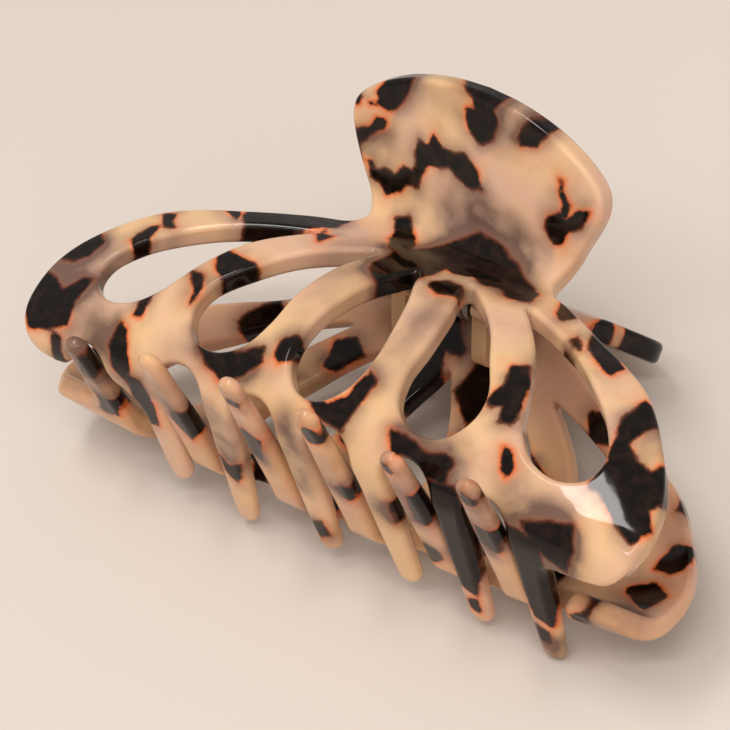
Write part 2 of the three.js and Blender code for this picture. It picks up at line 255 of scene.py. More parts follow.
def tooth_line(root, tip, tip_s):
    """One tooth, from its left root round the tip to its right root, its sides a little full."""
    tip_half = TOOTH_TIP_WIDTH / 2
    root_half = TOOTH_ROOT_WIDTH / 2
    side = []
    for t in np.linspace(0, 1, 44, endpoint=False):
        half = root_half + (tip_half - root_half) * t + TOOTH_FULLNESS * math.sin(math.pi * t)
        s = TOOTH_ROOT_S + t * (tip_s - tip_half - TOOTH_ROOT_S)
        side.append((half, root + (tip - root) * t, s))
    left = [(middle - half, s) for half, middle, s in side]
    right = [(middle + half, s) for half, middle, s in reversed(side)]
    arc = []
    for angle in np.linspace(math.pi, 0, 15):
        arc.append((tip + tip_half * math.cos(angle), tip_s - tip_half + tip_half * math.sin(angle)))
    return left + arc + right


def slot_line(left, right, s):
    """The round end of a slot, from left to right."""
    centre, radius = (left + right) / 2, (right - left) / 2
    angles = np.linspace(math.pi, 2 * math.pi, 26)[1:-1]
    return [(centre + radius * math.cos(a), s + radius * math.sin(a)) for a in angles]


def jaw_outline(side):
    upper = smooth_line(THUMB_SIDE + WING_SIDE)
    right = slanted(upper, THUMB_SLANT[side])
    left = slanted(mirrored(upper)[:-1], THUMB_SLANT[side])
    teeth = TEETH[side]
    flank = TOOTH_ROOT_WIDTH / 2
    # the right wing's lower corner runs into the last tooth
    end = teeth[-1][0] + flank
    corner = [WING_SIDE[-1]] + [(end + u, s) for u, s in RIGHT_CORNER]
    lower = [tuple(p) for p in smooth_line(corner)[1:]]
    slot_left, slot_right, slot_s, web = FIRST_SLOT[side]
    for k in reversed(range(len(teeth))):
        tooth = tooth_line(*teeth[k])[::-1]
        if k == len(teeth) - 1:
            tooth = [p for p in tooth if not (p[0] > teeth[k][0] and p[1] < LAST_SIDE_S)]
        if k == 0 and web:
            tooth = [p for p in tooth if not (p[0] < teeth[k][0] and p[1] < WEB_END_S)]
        lower += tooth
        if k > 0:
            lower += slot_line(teeth[k - 1][0] + flank, teeth[k][0] - flank, TOOTH_ROOT_S)[::-1]
    # the slot that lets the other jaw's last tooth pass, and the left wing's lower corner
    last = tuple(lower[-1])
    lower += [tuple(p) for p in smooth_line([last, *web, (slot_right, slot_s)])[1:]]
    lower += slot_line(slot_left, slot_right, slot_s)[::-1]
    ending = [(slot_left, slot_s)] + [(slot_left + u, s) for u, s in LEFT_CORNER]
    lower += [tuple(p) for p in smooth_line(ending + [tuple(left[0])])[:-1]]
    return np.vstack([right, lower, left])


def jaw_holes():
    outer, inner, middle = (
        smooth_line(c, closed=True) for c in (OUTER_CUTOUT, INNER_CUTOUT, MIDDLE_CUTOUT)
    )
    return [outer, inner, middle, mirrored(inner), mirrored(outer)]


# ---- flat plates with round edges ----
def signed_area(line):
    x, y = line[:, 0], line[:, 1]
    return 0.5 * np.sum(x * np.roll(y, -1) - np.roll(x, -1) * y)


def outward(line):
    """Directions out of the material, for a line with the material on its left."""
    ahead = np.roll(line, -1, 0) - np.roll(line, 1, 0)
    normal = np.stack([ahead[:, 1], -ahead[:, 0]], 1)
    return normal / np.linalg.norm(normal, axis=1)[:, None]


def inside(points, lines):
    """Which points are inside the material, by counting crossings."""
    x, y = points[:, 0], points[:, 1]
    odd = np.zeros(len(points), bool)
    for line in lines:
        for (x1, y1), (x2, y2) in zip(line, np.roll(line, -1, 0)):
            crosses = (y1 > y) != (y2 > y)
            if y1 != y2:
                odd ^= crosses & (x < (x2 - x1) * (y - y1) / (y2 - y1) + x1)
    return odd


def plate(outline, holes, thickness, edge_radius, spacing, steps=5):
    """A flat plate with quarter-round edges: points (x, y, depth), triangles, flat normals.
    edge_radius is a number, or a function of the points. Depth 0 is the outer face."""
    lines = [outline if signed_area(outline) > 0 else outline[::-1]]
    lines += [h if signed_area(h) < 0 else h[::-1] for h in holes]
    radius_at = edge_radius if callable(edge_radius) else lambda p: np.full(len(p), edge_radius)
    points, normals, rings, insets = [], [], [], []
    start = 0
    angles = np.linspace(0, math.pi / 2, steps + 1)
    profile = [(a, -1) for a in reversed(angles)] + [(a, 1) for a in angles]
    for line in lines:
        out = outward(line)
        radius = radius_at(line)
        ring = []
        for angle, way in profile:
            flat = line + out * (radius * (math.cos(angle) - 1))[:, None]
            height = way * (thickness / 2 - radius + radius * math.sin(angle))
            points.append(np.column_stack([flat, thickness / 2 - height]))
            direction = np.column_stack([
                out * math.cos(angle), np.full(len(line), -way * math.sin(angle)),
            ])
            normals.append(direction)
            ring.append(start + np.arange(len(line)))
            start += len(line)
        rings.append(ring)
        insets.append(line - out * radius[:, None])
    triangles = []
    for ring in rings:
        for low, high in zip(ring, ring[1:]):
            ahead_low, ahead_high = np.roll(low, -1), np.roll(high, -1)
            triangles += np.column_stack([low, ahead_low, ahead_high]).tolist()
            triangles += np.column_stack([low, ahead_high, high]).tolist()
    # points inside the faces, kept off the inset lines
    rim = np.vstack(insets)
    lo, hi = rim.min(0), rim.max(0)
    rows = np.arange(lo[1], hi[1], spacing * 0.87)
    grid = [
        (x + (spacing / 2 if i % 2 else 0), y)
        for i, y in enumerate(rows) for x in np.arange(lo[0], hi[0], spacing)
    ]
    grid = np.array(grid)
    grid = grid[inside(grid, insets)]
    nearest = np.full(len(grid), 1e9)
    for chunk in np.array_split(rim, max(1, len(rim) // 200)):
        away = np.linalg.norm(grid[:, None] - chunk[None], axis=2).min(1)
        nearest = np.minimum(nearest, away)
    grid = grid[nearest > 0.6 * spacing]
    flat = np.vstack([rim, grid])
    edges, base = [], 0
    for line in insets:
        n = len(line)
        edges += [(base + i, base + (i + 1) % n) for i in range(n)]
        base += n
    made = delaunay_2d_cdt([Vector(p) for p in flat], edges, [], 0, 1e-7)
    faces = np.array([f for f in made[2] if len(f) == 3])
    where = np.array([origin[0] for origin in made[3]])
    centres = np.array([tuple(p) for p in made[0]])[faces].mean(1)
    faces = where[faces[inside(centres, insets)]]
    for side, way in ((0, 1), (-1, -1)):
        rim_index = np.concatenate([ring[side] for ring in rings])
        index = np.concatenate([rim_index, start + np.arange(len(grid))])
        depth = thickness if side == 0 else 0.0
        points.append(np.column_stack([grid, np.full(len(grid), depth)]))
        normals.append(np.tile([0.0, 0.0, float(way)], (len(grid), 1)))
        start += len(grid)
        cap = index[faces]
        triangles += (cap[:, ::-1] if side == 0 else cap).tolist()
    return np.vstack(points), np.array(triangles), np.vstack(normals)


def bend(flat, normals, place):
    """The plate's points and normals after the mapping place(flat points) -> points."""
    step = 1e-3
    points = place(flat)
    columns = []
    for axis in range(3):
        shift = np.zeros(3)
        shift[axis] = step
        columns.append((place(flat + shift) - place(flat - shift)) / (2 * step))
    jacobian = np.stack(columns, 2)
    turned = np.einsum("nji,nj->ni", np.linalg.inv(jacobian), normals)
    turned /= np.linalg.norm(turned, axis=1)[:, None]
    return points, turned


def mesh_object(name, points, triangles, normals=None):
    mesh = bpy.data.meshes.new(name)
    mesh.from_pydata([tuple(p) for p in points], [], [tuple(t) for t in triangles])
    mesh.validate()
    mesh.polygons.foreach_set("use_smooth", [True] * len(mesh.polygons))
    if normals is not None:
        mesh.normals_split_custom_set_from_vertices([tuple(n) for n in normals])
    obj = bpy.data.objects.new(name, mesh)
    bpy.context.scene.collection.objects.link(obj)
    return obj


def outward_facing(points, triangles):
    """The triangles, turned over if they enclose a negative volume."""
    a, b, c = (points[triangles[:, i]] for i in range(3))
    volume = np.einsum("ij,ij->i", a, np.cross(b, c)).sum()
    return triangles if volume > 0 else triangles[:, ::-1]


def add_vector(obj, name, values):
    attribute = obj.data.attributes.new(name, "FLOAT_VECTOR", "POINT")
    attribute.data.foreach_set("vector", np.asarray(values, np.float32).ravel())


# ---- the pattern in the sheet ----
FIGURE_LEAN = (0.22, -0.16)  # how the figure leans in u and s through the thickness
PLAIN_FIGURE = (6.0, 0.12, 0.0)  # far from any fleck, under a faint cloud

# Dark flecks of the front jaw, each a straight-sided shape in the sheet's flat (u, s), mm.
FRONT_SHARDS = [
    # thumb plate
    [(-19.3, -16.6), (-17.3, -17.6), (-18, -18.6), (-16.8, -21), (-14.6, -22.4), (-11.8, -22.8),
     (-12.2, -20.6), (-13.5, -18.4), (-15.5, -16.4), (-17.4, -16.8)],
    [(-22.2, -16), (-21.4, -18), (-20.8, -17.2), (-21.4, -16)],
    [(-22, -10.8), (-21.6, -12), (-18.8, -13), (-17.8, -14.8), (-16, -14.9), (-16.5, -13.6),
     (-18.7, -12.2), (-19.4, -11), (-20.8, -9.8), (-20.2, -7.6), (-21.4, -8), (-22, -9.4)],
    [(-18.9, -7.6), (-18.2, -8), (-17.4, -6.8), (-15.6, -7.4), (-14, -7), (-12.4, -8.8),
     (-11, -8.4), (-10.2, -9.4), (-10.6, -11.4), (-9.9, -13.6), (-8.6, -13.2), (-7.4, -15),
     (-5.8, -13.6), (-3.6, -13.4), (-2, -14), (-0.6, -13), (0.6, -11.6), (1.8, -9.2), (-0.4, -9),
     (-2.6, -9.8), (-4.4, -11.2), (-6, -10.4), (-8, -10.4), (-9.2, -8.6), (-9.8, -6), (-12, -6.2),
     (-12.8, -4.8), (-15.2, -3.6), (-16.8, -4.8), (-18.4, -5.4)],
    [(-4, -24.6), (1.5, -24.8), (4.6, -24.2), (2.6, -22), (3.6, -20.4), (3, -17.6), (0.6, -16),
     (-1.3, -17.6), (-2.2, -20.8), (-0.6, -21), (-1, -22.8)],
    [(7.2, -19), (8, -21), (9, -22.4), (13.4, -22.6), (11.8, -20.4), (10.6, -18.6), (8, -18)],
    [(13, -7), (13.4, -9), (15, -9.8), (16.4, -9.2), (18.8, -11.4), (20.2, -11.6), (19, -8.6),
     (17, -7.6), (15.8, -5.4), (14.6, -5), (13.6, -6)],
    [(14.8, -15), (15.6, -15), (15.5, -13.2), (16.9, -11.6), (16.4, -9.6), (15.4, -9.2),
     (15.9, -11.2), (15, -12.8)],
    # waist and the bend above it
    [(-12.4, -0.6), (-10.4, -1.6), (-8.6, 0.4), (-6, 3.2), (-5, 5.4), (-6.6, 7.4), (-8, 6.6),
     (-9.8, 3.8), (-11, 1.2)],
    [(-5.4, 4.6), (-2.8, 1.4), (-1, -0.6), (2, -2.8), (6, -2.2), (9.6, -0.4), (13.6, 2.2),
     (16.6, 4), (17.6, 7.4), (14.6, 8.4), (12, 6.8), (9.6, 7.4), (7, 6.2), (4, 7.6), (2.2, 6.6),
     (2.4, 9.6), (0, 14), (-2.6, 16), (-5.2, 14.4), (-6.6, 12.4), (-6, 9), (-6.6, 7)],
    [(3.4, 11.6), (5, 9.8), (8.4, 10.2), (9.2, 12.4), (6.2, 13.8), (4, 13)],
    # left wing
    [(-31.8, 10.6), (-31, 8.4), (-27, 6), (-22.6, 3.4), (-18.4, 1.8), (-18, 6.4), (-20.6, 8.8),
     (-23.4, 11.4), (-26, 13.8), (-28.4, 14.2), (-30.8, 12.6)],
    [(-35.2, 11.6), (-34, 10.6), (-32.4, 11.4), (-31.2, 13.4), (-33, 12.6)],
    [(-18.8, 8), (-17.6, 9.6), (-16.2, 9), (-16.8, 12), (-18.4, 10.4)],
    [(-43, 17), (-41.4, 16), (-40.4, 18), (-38.6, 19.2), (-40.6, 19.6), (-41.6, 18.6)],
    [(-43.8, 23.6), (-42.8, 20.6), (-41.4, 19.4), (-41, 22.4), (-39.9, 23.8), (-41.4, 25),
     (-42.8, 24.4)],
    [(-55, 27.6), (-53.4, 24.2), (-50.4, 21.4), (-49.6, 24.2), (-48, 25.4), (-48.6, 28.4),
     (-50.6, 30), (-54, 29.8)],
    [(-56, 32), (-53, 33), (-49, 34.8), (-46.8, 32.2), (-44.8, 32), (-45.6, 36), (-44.8, 39.8),
     (-48.6, 41.2), (-52.8, 41.6), (-55, 38)],
    [(-47.6, 41.6), (-45.8, 41.8), (-45.2, 47.8), (-47.4, 47.6)],
    [(-35.4, 37.2), (-33.6, 38), (-32.4, 40.4), (-31.4, 43.4), (-32.2, 46), (-34.4, 44.4),
     (-35.8, 41)],
    [(-34.6, 32.4), (-33.2, 30.8), (-32.4, 35.2), (-33.9, 35.4)],
    [(-28.6, 19.8), (-26.4, 20.4), (-22.8, 20.8), (-20, 21), (-21.4, 24), (-23.2, 26),
     (-25.8, 24.4), (-27.6, 22.2)],
    [(-29.8, 25.8), (-27.6, 25.8), (-25.9, 28), (-26, 31), (-27.1, 28.6), (-28.4, 27.2)],
    [(-22.8, 34), (-19.8, 35.2), (-14.2, 35.4), (-10.6, 33.2), (-9.4, 35.4), (-12, 38.8),
     (-14.4, 40), (-17.6, 38.6), (-20.4, 36.8)],
    [(-8.8, 31.6), (-7, 29.6), (-5.2, 30.2), (-5.6, 33.4), (-7, 34.6), (-8.4, 33.6)],
    # right wing
    [(0, 37.2), (3.6, 37.4), (6, 35), (6.8, 30.6), (8.8, 31.8), (8, 36.6), (7.6, 40.2),
     (4.4, 39.8), (2, 39)],
    [(14.4, 37.2), (17.6, 37.4), (21.4, 38.4), (24, 37.4), (25.8, 38.2), (25.2, 41.4),
     (22.4, 41.6), (19, 40), (16, 40)],
    [(20.4, 3.6), (22.6, 4.6), (24.8, 6.4), (24.2, 9), (22.4, 7.6)],
    [(29.4, 8), (31.6, 9), (35.4, 11.6), (37.4, 13.8), (36.8, 15.8), (33.8, 14.6), (31.2, 12.6),
     (30, 10.6)],
    [(28.2, 10.8), (29.2, 12), (30.4, 13.6), (28.8, 13.2), (27.9, 12.4)],
    [(24.6, 21.4), (26.8, 20.4), (28.8, 23), (29.8, 26.6), (30.6, 30), (28.4, 30.4), (27.4, 27.8),
     (26, 29), (24.9, 27.6), (25.8, 25)],
    [(31, 33.2), (32.1, 33.4), (33.9, 35.6), (33.6, 37), (32.3, 36)],
    [(43.6, 17.6), (46.4, 18), (47.6, 20.4), (46.6, 22.2), (45.8, 25), (48, 27), (50.6, 27.4),
     (51.6, 25.4), (54, 26.4), (54.8, 29), (53.2, 32.4), (54.6, 34.6), (53.2, 37.6), (51, 36.8),
     (49, 35.2), (46, 33.4), (44.2, 33.4), (44.8, 29), (44, 25.6), (42.8, 21.8)],
    [(37.6, 41.6), (41, 40.2), (45, 38.8), (46.2, 42.4), (45, 46.4), (42.2, 45.4), (40, 43.8)],
    # teeth
    [(-31.9, 44.5), (-29.4, 45), (-28.4, 49), (-29, 54), (-31.4, 54.4), (-32.4, 50)],
    [(-17.8, 55.2), (-16.2, 57.2), (-14, 56), (-15, 59.6), (-16, 60.8), (-17.4, 58.8)],
    [(-2.6, 62.6), (-0.4, 61.6), (0.2, 64.4), (-1.8, 66)],
    [(14.6, 50.4), (16.2, 50), (16, 54), (14.8, 54.4)],
    [(22.4, 41.6), (27, 41.2), (29.2, 44.5), (28.8, 52), (28.2, 58), (26.6, 63.4), (24.2, 62),
     (23.2, 56), (22.6, 49)],
    [(24.6, 64.8), (26.6, 64), (26.2, 67), (25, 66.6)],
    [(35.6, 42.8), (40.8, 43.4), (41.2, 50), (40.8, 57), (39.6, 62), (36.8, 61), (35.4, 52)],
    [(36.2, 63), (38.8, 63.4), (38, 66.6), (36.4, 66)],
]
# Soft clouds: centre, half length, half width, angle and strength, in mm and degrees.
FRONT_CLOUDS = [
    (-13, -20.6, 4.5, 3, -35, 0.7), (-17.5, -11.5, 4.5, 3, -20, 0.6), (-11, -4, 4, 3, 0, 0.2),
    (-4, -21.5, 4.5, 3.4, 0, 0.35), (4.5, -20.5, 4.5, 4.4, 0, 0.75), (9.5, -21.5, 4, 2.6, -30, 0.6),
    (16, -10.5, 4.4, 3, -40, 0.4), (-0.5, -5, 6, 5, 0, 0.5), (4, -2, 10, 6, 10, 0.9),
    (-3, 8, 6, 8, 20, 0.8), (12, 5, 6, 4, 30, 0.7), (-48, 31, 8, 7, 10, 0.85),
    (-38.4, 39, 4.4, 4, 0, 0.85), (-42, 41, 5, 3, 0, 0.5), (-14, 37, 7, 3.6, 5, 0.65),
    (-8, 25, 2.6, 9, 0, 0.3), (-22, 38, 5, 3, 0, 0.3), (21, 37.5, 7, 4, 5, 0.7),
    (8, 25, 2.4, 10, 0, 0.4), (41, 41, 7, 4.6, 10, 0.85), (50, 22, 3, 4, 45, 0.5),
    (26, 16, 3, 7, -25, 0.35), (-16.8, 46.8, 2.4, 3.2, 0, 0.65), (-32, 46, 4, 4, 0, 0.5),
    (-2, 48, 2.8, 8, 0, 0.95), (-15.6, 52, 3, 6, 0, 0.7), (14, 52.4, 3.4, 3.2, 0, 0.8),
    (25.6, 44, 4, 6, 0, 0.6), (37.8, 67.6, 3.2, 4.4, 0, 0.85), (38, 46, 4, 5, 0, 0.6),
    (-1, 65, 3, 3, 0, 0.5), (42.4, 44, 4.6, 4.8, 0, 0.9), (3, 30, 12, 6, 0, 0.12),
    (-10, 12, 5, 8, 20, 0.5), (8, 16, 3, 8, -10, 0.4), (-27, 26, 3, 6, 10, 0.4),
    (14, 24, 2.6, 9, 0, 0.4), (-2, 20, 4, 7, 0, 0.4), (34, 36, 4, 3, 20, 0.35),
]
# Dark flecks of the rear jaw: centre, half length, half width and angle.
REAR_FLECKS = [
    (-20, -11, 5, 6, 0), (18.5, 13.5, 3.6, 1.8, 60), (33, 12.6, 4.4, 2, 35), (-27, 10, 3, 1.8, -30),
    (-49.5, 26.5, 2.2, 3.2, 0), (-49.4, 34, 3.4, 2.2, 10), (-44.2, 45.4, 1.7, 1.2, 0),
    (-19, 21, 2, 3.6, 20), (-8.6, 20, 1.4, 5, 0), (8.8, 26, 1.3, 3, 0), (26, 23, 3.2, 1.6, 55),
    (46, 22, 2, 3, 40), (-36, 15, 3, 1.4, -35), (18, 38, 3.2, 1.4, 0), (-20, 38.4, 3, 1.6, 0),
    (33, 38.4, 2.6, 1.6, 30), (4, 39.8, 2.4, 1.2, 0), (-34, 37, 2.2, 2.6, 0), (14, -12, 4, 4.4, 30),
    (20, -9, 3, 3, 0), (-14, -10, 5, 2.4, -20), (-4, -17, 3, 2.4, 10), (6, -6, 3.4, 1.6, 30),
    (-19, -3, 1.6, 2, 0), (4, 4, 6, 2.6, -10), (-8, 2, 2.4, 2, 0), (-46, 17, 2, 1.6, 0),
    (53, 33, 1.4, 2.2, 0), (48, 38, 2.4, 1.2, 20),
    # teeth
    (39, 50.8, 1.8, 3.2, 0), (38.8, 60.4, 1.1, 2.8, 0), (22, 56.8, 1.6, 4.2, 0),
    (8, 60.6, 1.7, 3.4, 0), (6.6, 71.6, 0.9, 0.8, 0), (-7.2, 71.2, 1.3, 2, 0),
    (-7.6, 57.2, 1.1, 1.8, 0), (-20.2, 70.8, 0.8, 0.7, 0), (-21.8, 61.7, 1.1, 3.8, 0),
    (-34, 59.8, 1.8, 2.8, 0), (-33.6, 70.4, 1.2, 1.2, 0), (-20, 49, 1.6, 2.6, 0),
    # along the arms beside the middle cutout
    (3.6, 12.5, 1.8, 7, -12), (-5, 11, 1.2, 5.5, 14),
]
REAR_CLOUDS = [
    (40, 60, 4, 8, 0, 0.8), (23, 62, 3, 6, 0, 0.5), (7.6, 60, 3.2, 6, 0, 0.6),
    (-7, 60, 3.2, 6, 0, 0.5), (-20.6, 62, 3.2, 7, 0, 0.6), (-33.4, 64, 3.4, 9, 0, 0.6),
    (-47, 34, 5, 4, 0, 0.5), (-48, 42, 5, 4, 0, 0.9), (16, -11, 9, 7, 20, 0.85),
    (-12, -9, 7, 4, -20, 0.6), (4, 3, 12, 5, 0, 0.7), (-30, 12, 5, 4, -30, 0.5),
    (22, 18, 5, 6, 55, 0.5), (-20, 26, 3, 8, 0, 0.4), (34, 38, 6, 4, 0, 0.5), (0, 40, 9, 3, 0, 0.4),
    (46, 30, 4, 7, 0, 0.3),
]


def ellipse_distance(x, y, blot):
    """Roughly how far (x, y) is outside the blot, in mm, negative inside it."""
    cx, cy, a, b, angle = blot[:5]
    c, s = math.cos(rad(angle)), math.sin(rad(angle))
    along = (x - cx) * c + (y - cy) * s
    across = -(x - cx) * s + (y - cy) * c
    k = np.sqrt((along / a) ** 2 + (across / b) ** 2)
    slope = np.sqrt((along / a ** 2) ** 2 + (across / b ** 2) ** 2)
    return k * (k - 1) / np.maximum(slope, 1e-6)


def shard_distance(x, y, blot, chance):
    """How far (x, y) is outside a straight-sided fleck with the blot's place and size, in mm."""
    cx, cy, a, b, angle = blot
    c, s = math.cos(rad(angle)), math.sin(rad(angle))
    along = (x - cx) * c + (y - cy) * s
    across = -(x - cx) * s + (y - cy) * c
    away = np.full(len(x), -1e9)
    count = 5 if a * b < 5 else 6
    turn = chance.uniform(0, 2 * math.pi)
    for i in range(count):
        way = turn + 2 * math.pi * (i + chance.uniform(-0.42, 0.42)) / count
        reach = math.hypot(a * math.cos(way), b * math.sin(way)) * chance.uniform(0.66, 1.2)
        away = np.maximum(away, along * math.cos(way) + across * math.sin(way) - reach)
    return away


def outline_distance(x, y, corners):
    """How far (x, y) is outside a polygon, in mm, negative inside it."""
    away = np.full(len(x), 1e9)
    odd = np.zeros(len(x), bool)
    for (x1, y1), (x2, y2) in zip(corners, corners[1:] + corners[:1]):
        along = ((x - x1) * (x2 - x1) + (y - y1) * (y2 - y1)) / ((x2 - x1) ** 2 + (y2 - y1) ** 2)
        along = np.clip(along, 0, 1)
        away = np.minimum(away, np.hypot(x - x1 - along * (x2 - x1), y - y1 - along * (y2 - y1)))
        if y1 != y2:
            odd ^= ((y1 > y) != (y2 > y)) & (x < (x2 - x1) * (y - y1) / (y2 - y1) + x1)
    return np.where(odd, -away, away)


def pattern(flat, flecks, clouds):
    """(distance outside the flecks in mm, cloud strength 0 to 1, 0) at each flat point."""
    x = flat[:, 0] + FIGURE_LEAN[0] * (flat[:, 2] - 1)
    y = flat[:, 1] + FIGURE_LEAN[1] * (flat[:, 2] - 1)
    away = np.full(len(flat), 8.0)
    chance = np.random.default_rng(11)
    for fleck in flecks:
        if isinstance(fleck, tuple):
            distance = shard_distance(x, y, fleck, chance)
        else:
            distance = outline_distance(x, y, fleck)
        away = np.minimum(away, distance)
    clear = np.ones(len(flat))
    for cloud in clouds:
        distance = ellipse_distance(x, y, cloud)
        soft = np.clip(0.5 - distance / 5.0, 0, 1)
        soft = soft * soft * (3 - 2 * soft)
        clear *= 1 - cloud[5] * soft
    return np.stack([np.clip(away, -3, 8), 1 - clear, np.zeros(len(flat))], 1)


# ---- materials ----
class Nodes:
    """Small helpers for one material's node tree."""

    def __init__(self, name):
        self.material = bpy.data.materials.new(name)
        self.material.use_nodes = True
        self.tree = self.material.node_tree
        self.tree.nodes.clear()
        self.output = self.tree.nodes.new("ShaderNodeOutputMaterial")
        self.shader = self.tree.nodes.new("ShaderNodeBsdfPrincipled")
        self.tree.links.new(self.shader.outputs[0], self.output.inputs["Surface"])

    def link(self, source, target):
        self.tree.links.new(source, target)

    def add(self, kind, **settings):
        node = self.tree.nodes.new(kind)
        for key, value in settings.items():
            setattr(node, key, value)
        return node

    def put(self, socket, value):
        if hasattr(value, "links"):
            self.link(value, socket)
        else:
            socket.default_value = value

    def math(self, operation, *values):
        node = self.add("ShaderNodeMath", operation=operation)
        for socket, value in zip(node.inputs, values):
            self.put(socket, value)
        return node.outputs[0]

    def noise(self, vector, scale, detail=2.0, roughness=0.5, distortion=0.0):
        node = self.add("ShaderNodeTexNoise")
        self.link(vector, node.inputs["Vector"])
        node.inputs["Scale"].default_value = scale
        node.inputs["Detail"].default_value = detail
        node.inputs["Roughness"].default_value = roughness
        node.inputs["Distortion"].default_value = distortion
        return node.outputs[0]

    def cells(self, vector, scale):
        """Distance from the middle of blocky cells."""
        node = self.add("ShaderNodeTexVoronoi", distance="CHEBYCHEV", feature="F1")
        self.link(vector, node.inputs["Vector"])
        node.inputs["Scale"].default_value = scale
        return node.outputs["Distance"]

    def ramp(self, value, low, high, smooth=True):
        """0 below low, 1 above high."""
        node = self.add("ShaderNodeMapRange")
        node.interpolation_type = "SMOOTHSTEP" if smooth else "LINEAR"
        self.put(node.inputs["Value"], value)
        node.inputs["From Min"].default_value = low
        node.inputs["From Max"].default_value = high
        return node.outputs[0]

    def mix(self, factor, a, b):
        node = self.add("ShaderNodeMix", data_type="RGBA")
        self.put(node.inputs[0], factor)
        self.put(node.inputs[6], a)
        self.put(node.inputs[7], b)
        return node.outputs[2]


def srgb(r, g, b):
    """An 8-bit sRGB colour as linear RGBA."""
    def linear(level):
        share = level / 255
        return share / 12.92 if share <= 0.04045 else ((share + 0.055) / 1.055) ** 2.4
    return (linear(r), linear(g), linear(b), 1.0)


def acetate(name, offset, painted_shade=0.0):
    """Polished tortoiseshell acetate. The sheet's flat place, in mm, and the fleck and cloud
    fields are read from the mesh. The offset picks a different part of the noise, and the last
    argument mixes a deeper, darker orange into the ground: painted shade for the rear jaw, which lies
    under the front one."""
    n = Nodes(name)
    flat = n.add("ShaderNodeAttribute", attribute_name="flat_place").outputs["Vector"]
    place = n.add("ShaderNodeVectorMath", operation="ADD")
    n.link(flat, place.inputs[0])
    place.inputs[1].default_value = offset
    place = place.outputs[0]
    fields = n.add("ShaderNodeAttribute", attribute_name="figure").outputs["Vector"]
    split = n.add("ShaderNodeSeparateXYZ")
    n.link(fields, split.inputs[0])
    away, cloud = split.outputs[0], split.outputs[1]

    # the flecks' outline wanders a little; some sides glow orange, some fade into smoke
    warp = n.noise(place, 0.4, 2.0, 0.5)
    cell = n.cells(place, 0.55)
    fine = n.noise(place, 1.6, 2.0, 0.5)
    edge = n.math("ADD", away, n.math("MULTIPLY", n.math("SUBTRACT", warp, 0.5), 0.6))
    edge = n.math("ADD", edge, n.math("MULTIPLY", n.math("SUBTRACT", cell, 0.48), 0.45))
    edge = n.math("ADD", edge, n.math("MULTIPLY", n.math("SUBTRACT", fine, 0.5), 0.22))
    side = n.ramp(n.noise(place, 0.16, 1.0), 0.4, 0.62)
    side = n.math("MULTIPLY", side, n.math("SUBTRACT", 1.0, n.ramp(cloud, 0.3, 0.75)))
    soft = n.math("ADD", 0.1, n.math("MULTIPLY", n.math("SUBTRACT", 1.0, side), 0.6))
    dark_edge = n.math("DIVIDE", edge, soft)
    dark = n.math("SUBTRACT", 1.0, n.ramp(dark_edge, -0.6, 0.8))
    rim = n.math("SUBTRACT", 1.0, n.ramp(edge, 0.0, 0.4))
    glow = n.math("SUBTRACT", 1.0, n.ramp(edge, -0.1, 1.1))
    glow = n.math("MULTIPLY", glow, n.math("ADD", 0.14, n.math("MULTIPLY", side, 0.8)))

    # honey ground: pinker and yellower areas, faint streaks
    tint = n.ramp(n.noise(place, 0.055, 2.0, 0.55), 0.38, 0.62)
    streak = n.noise(place, 0.16, 3.0, 0.55, 0.4)
    ground = n.mix(tint, srgb(217, 178, 134), srgb(210, 170, 142))
    streak = n.math("MULTIPLY", n.ramp(streak, 0.5, 0.8), 0.3)
    ground = n.mix(streak, ground, srgb(196, 128, 88))
    # painted shade: the rear jaw's ground is mixed toward a deeper, darker orange, for the shade under the
    # front jaw
    ground = n.mix(painted_shade, ground, srgb(188, 112, 64))
    # smoke
    wisps = n.noise(place, 0.17, 3.0, 0.5, 0.3)
    wisps = n.math("MULTIPLY", n.ramp(wisps, 0.25, 0.7), 0.6)
    smoke = n.math("MULTIPLY", cloud, n.math("ADD", 0.36, wisps))
    near = n.math("SUBTRACT", 1.0, n.ramp(edge, -0.4, 3.6, smooth=False))
    near = n.math("POWER", near, 2.0)
    near = n.math("MULTIPLY", near, n.math("SUBTRACT", 1.0, side))
    smoke = n.math("ADD", smoke, n.math("MULTIPLY", near, 0.8))
    smoke = n.math("MINIMUM", smoke, 0.88)
    ground = n.mix(smoke, ground, srgb(84, 60, 54))
    # a wide orange bleed, a narrow orange glow, a rust rim and a dark core
    bleed = n.math("SUBTRACT", 1.0, n.ramp(edge, -0.5, 3.4))
    bleed = n.math("MULTIPLY", bleed, n.math("MULTIPLY", side, 0.3))
    ground = n.mix(bleed, ground, srgb(210, 116, 58))
    ground = n.mix(glow, ground, srgb(212, 100, 42))
    colour = n.mix(n.math("MULTIPLY", rim, 0.75), ground, srgb(112, 46, 20))
    inner = n.mix(n.ramp(n.noise(place, 0.5, 3.0), 0.4, 0.8), srgb(14, 8, 5), srgb(38, 22, 16))
    colour = n.mix(dark, colour, inner)
    n.link(colour, n.shader.inputs["Base Color"])

    # light scatters a little way into the honey, and not into the flecks
    shader = n.shader.inputs
    scatter = n.math("MULTIPLY", n.math("SUBTRACT", 1.0, dark), 0.32)
    n.link(scatter, shader["Subsurface Weight"])
    shader["Subsurface Radius"].default_value = (1.0, 0.55, 0.3)
    shader["Subsurface Scale"].default_value = 0.0026
    shader["IOR"].default_value = 1.48
    shader["Specular IOR Level"].default_value = 0.27
    rough = n.math("ADD", 0.03, n.math("MULTIPLY", n.noise(place, 0.9, 3.0), 0.04))
    n.link(rough, shader["Roughness"])
    # a polished sheet is never quite flat
    bump = n.add("ShaderNodeBump")
    bump.inputs["Strength"].default_value = 0.06
    bump.inputs["Distance"].default_value = 0.0012
    n.link(n.noise(place, 0.12, 2.0), bump.inputs["Height"])
    n.link(bump.outputs[0], shader["Normal"])
    return n.material


